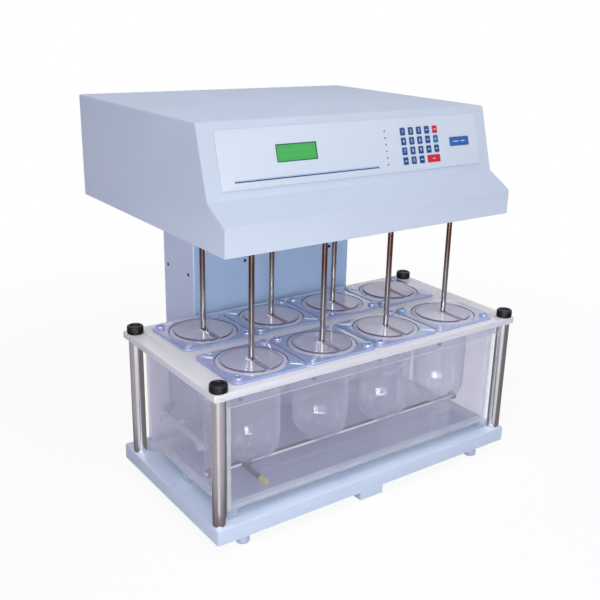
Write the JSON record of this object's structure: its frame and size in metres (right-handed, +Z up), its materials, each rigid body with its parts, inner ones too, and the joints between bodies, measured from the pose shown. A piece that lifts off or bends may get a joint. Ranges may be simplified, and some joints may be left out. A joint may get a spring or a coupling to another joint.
{
  "type": "tablet dissolution tester",
  "caption": "Bench tester that stirs tablets in round-bottomed glass vessels hung in a water bath, under a belt-driven head that rises and falls on a rear column.",
  "frame": {"origin": "on the bench, under the centre of the whole machine's outline", "axes": "+Z up; +X to the machine's right seen from its front; +Y to the back, so the control panel faces -Y"},
  "size_m": [0.696, 0.5752, 0.7033],
  "materials": {
    "painted_base": "satin powder coat",
    "painted_head": "satin powder coat",
    "painted_column": "satin powder coat",
    "rubber_foot": "matte moulded",
    "bright_chrome": "polished",
    "black_plastic": "moulded",
    "white_board": "smooth white board",
    "blue_acrylic": "polished sheet",
    "clear_glass": "clear",
    "clear_acrylic": "clear polished sheet",
    "shaft_steel": "ground and polished",
    "dark_metal": "satin",
    "plain_aluminium": "milled",
    "belt_rubber": "matte",
    "panel_film": "printed film",
    "display_green": "lit display behind a clear window"
  },
  "bodies": {
    "base": {"base_plate": "painted_base", "foot_front_left": "rubber_foot", "foot_front_right": "rubber_foot", "foot_back_left": "rubber_foot", "foot_back_right": "rubber_foot", "post_front_left": "bright_chrome", "post_front_right": "bright_chrome", "post_back_left": "bright_chrome", "post_back_right": "bright_chrome", "bath_lid_plate": "white_board", "vessel_plate_1": "blue_acrylic", "vessel_plate_2": "blue_acrylic", "vessel_plate_3": "blue_acrylic", "vessel_plate_4": "blue_acrylic", "vessel_plate_5": "blue_acrylic", "vessel_plate_6": "blue_acrylic", "vessel_plate_7": "blue_acrylic", "vessel_plate_8": "blue_acrylic", "bath_tank": "clear_acrylic", "circulation_pipe": "clear_acrylic", "heater_rod": "dark_metal", "column_shell": "painted_column", "lift_actuator": "plain_aluminium", "mains_inlet": "black_plastic"},
    "head": {"head_cover": "painted_head", "head_chassis": "plain_aluminium", "lift_mast": "bright_chrome", "drive_belt": "belt_rubber", "drive_motor": "dark_metal", "control_panel": "panel_film", "display_window": "display_green"},
    "spindle_1_body": {"spindle_1": "shaft_steel"},
    "spindle_2_body": {"spindle_2": "shaft_steel"},
    "spindle_3_body": {"spindle_3": "shaft_steel"},
    "spindle_4_body": {"spindle_4": "shaft_steel"},
    "spindle_5_body": {"spindle_5": "shaft_steel"},
    "spindle_6_body": {"spindle_6": "shaft_steel"},
    "spindle_7_body": {"spindle_7": "shaft_steel"},
    "spindle_8_body": {"spindle_8": "shaft_steel"},
    "motor_pulley_body": {"motor_pulley": "plain_aluminium"},
    "vessel_1_body": {"vessel_1": "clear_glass"},
    "vessel_2_body": {"vessel_2": "clear_glass"},
    "vessel_3_body": {"vessel_3": "clear_glass"},
    "vessel_4_body": {"vessel_4": "clear_glass"},
    "vessel_5_body": {"vessel_5": "clear_glass"},
    "vessel_6_body": {"vessel_6": "clear_glass"},
    "vessel_7_body": {"vessel_7": "clear_glass"},
    "vessel_8_body": {"vessel_8": "clear_glass"},
    "cover_1_body": {"vessel_cover_1": "clear_acrylic"},
    "cover_2_body": {"vessel_cover_2": "clear_acrylic"},
    "cover_3_body": {"vessel_cover_3": "clear_acrylic"},
    "cover_4_body": {"vessel_cover_4": "clear_acrylic"},
    "cover_5_body": {"vessel_cover_5": "clear_acrylic"},
    "cover_6_body": {"vessel_cover_6": "clear_acrylic"},
    "cover_7_body": {"vessel_cover_7": "clear_acrylic"},
    "cover_8_body": {"vessel_cover_8": "clear_acrylic"},
    "knob_front_left_body": {"lid_knob_front_left": "black_plastic"},
    "knob_front_right_body": {"lid_knob_front_right": "black_plastic"},
    "knob_back_left_body": {"lid_knob_back_left": "black_plastic"},
    "knob_back_right_body": {"lid_knob_back_right": "black_plastic"}
  },
  "joints": [
    {"name": "head_lift", "type": "slide", "parent": "base", "child": "head", "axis": [0, 0, 1], "range_m": [-0.165, 0]},
    {"name": "spindle_1_spin", "type": "hinge", "parent": "head", "child": "spindle_1_body", "pos_m": [-0.22725, -0.2004, 0.4], "axis": [0, 0, 1], "continuous": true},
    {"name": "spindle_2_spin", "type": "hinge", "parent": "head", "child": "spindle_2_body", "pos_m": [-0.07575, -0.2004, 0.4], "axis": [0, 0, 1], "continuous": true},
    {"name": "spindle_3_spin", "type": "hinge", "parent": "head", "child": "spindle_3_body", "pos_m": [0.07575, -0.2004, 0.4], "axis": [0, 0, 1], "continuous": true},
    {"name": "spindle_4_spin", "type": "hinge", "parent": "head", "child": "spindle_4_body", "pos_m": [0.22725, -0.2004, 0.4], "axis": [0, 0, 1], "continuous": true},
    {"name": "spindle_5_spin", "type": "hinge", "parent": "head", "child": "spindle_5_body", "pos_m": [-0.22725, -0.0324, 0.4], "axis": [0, 0, 1], "continuous": true},
    {"name": "spindle_6_spin", "type": "hinge", "parent": "head", "child": "spindle_6_body", "pos_m": [-0.07575, -0.0324, 0.4], "axis": [0, 0, 1], "continuous": true},
    {"name": "spindle_7_spin", "type": "hinge", "parent": "head", "child": "spindle_7_body", "pos_m": [0.07575, -0.0324, 0.4], "axis": [0, 0, 1], "continuous": true},
    {"name": "spindle_8_spin", "type": "hinge", "parent": "head", "child": "spindle_8_body", "pos_m": [0.22725, -0.0324, 0.4], "axis": [0, 0, 1], "continuous": true},
    {"name": "motor_spin", "type": "hinge", "parent": "head", "child": "motor_pulley_body", "pos_m": [0.2775, -0.1164, 0.55], "axis": [0, 0, 1], "continuous": true},
    {"name": "vessel_1_lift", "type": "slide", "parent": "base", "child": "vessel_1_body", "axis": [0, 0, 1], "range_m": [0, 0.11]},
    {"name": "vessel_2_lift", "type": "slide", "parent": "base", "child": "vessel_2_body", "axis": [0, 0, 1], "range_m": [0, 0.11]},
    {"name": "vessel_3_lift", "type": "slide", "parent": "base", "child": "vessel_3_body", "axis": [0, 0, 1], "range_m": [0, 0.11]},
    {"name": "vessel_4_lift", "type": "slide", "parent": "base", "child": "vessel_4_body", "axis": [0, 0, 1], "range_m": [0, 0.11]},
    {"name": "vessel_5_lift", "type": "slide", "parent": "base", "child": "vessel_5_body", "axis": [0, 0, 1], "range_m": [0, 0.11]},
    {"name": "vessel_6_lift", "type": "slide", "parent": "base", "child": "vessel_6_body", "axis": [0, 0, 1], "range_m": [0, 0.11]},
    {"name": "vessel_7_lift", "type": "slide", "parent": "base", "child": "vessel_7_body", "axis": [0, 0, 1], "range_m": [0, 0.11]},
    {"name": "vessel_8_lift", "type": "slide", "parent": "base", "child": "vessel_8_body", "axis": [0, 0, 1], "range_m": [0, 0.11]},
    {"name": "cover_1_lift", "type": "slide", "parent": "vessel_1_body", "child": "cover_1_body", "axis": [0, 0, 1], "range_m": [0, 0.08]},
    {"name": "cover_2_lift", "type": "slide", "parent": "vessel_2_body", "child": "cover_2_body", "axis": [0, 0, 1], "range_m": [0, 0.08]},
    {"name": "cover_3_lift", "type": "slide", "parent": "vessel_3_body", "child": "cover_3_body", "axis": [0, 0, 1], "range_m": [0, 0.08]},
    {"name": "cover_4_lift", "type": "slide", "parent": "vessel_4_body", "child": "cover_4_body", "axis": [0, 0, 1], "range_m": [0, 0.08]},
    {"name": "cover_5_lift", "type": "slide", "parent": "vessel_5_body", "child": "cover_5_body", "axis": [0, 0, 1], "range_m": [0, 0.08]},
    {"name": "cover_6_lift", "type": "slide", "parent": "vessel_6_body", "child": "cover_6_body", "axis": [0, 0, 1], "range_m": [0, 0.08]},
    {"name": "cover_7_lift", "type": "slide", "parent": "vessel_7_body", "child": "cover_7_body", "axis": [0, 0, 1], "range_m": [0, 0.08]},
    {"name": "cover_8_lift", "type": "slide", "parent": "vessel_8_body", "child": "cover_8_body", "axis": [0, 0, 1], "range_m": [0, 0.08]},
    {"name": "knob_front_left_turn", "type": "hinge", "parent": "base", "child": "knob_front_left_body", "pos_m": [-0.3324, -0.2699, 0.3], "axis": [0, 0, 1], "continuous": true},
    {"name": "knob_front_right_turn", "type": "hinge", "parent": "base", "child": "knob_front_right_body", "pos_m": [0.3324, -0.2699, 0.3], "axis": [0, 0, 1], "continuous": true},
    {"name": "knob_back_left_turn", "type": "hinge", "parent": "base", "child": "knob_back_left_body", "pos_m": [-0.3324, 0.0371, 0.3], "axis": [0, 0, 1], "continuous": true},
    {"name": "knob_back_right_turn", "type": "hinge", "parent": "base", "child": "knob_back_right_body", "pos_m": [0.3324, 0.0371, 0.3], "axis": [0, 0, 1], "continuous": true}
  ],
  "couplings": [
    {"joint": "spindle_2_spin", "follows": "spindle_1_spin", "ratio": 1},
    {"joint": "spindle_3_spin", "follows": "spindle_1_spin", "ratio": 1},
    {"joint": "spindle_4_spin", "follows": "spindle_1_spin", "ratio": 1},
    {"joint": "spindle_5_spin", "follows": "spindle_1_spin", "ratio": 1},
    {"joint": "spindle_6_spin", "follows": "spindle_1_spin", "ratio": 1},
    {"joint": "spindle_7_spin", "follows": "spindle_1_spin", "ratio": 1},
    {"joint": "spindle_8_spin", "follows": "spindle_1_spin", "ratio": 1},
    {"joint": "motor_spin", "follows": "spindle_1_spin", "ratio": 1.4667}
  ]
}
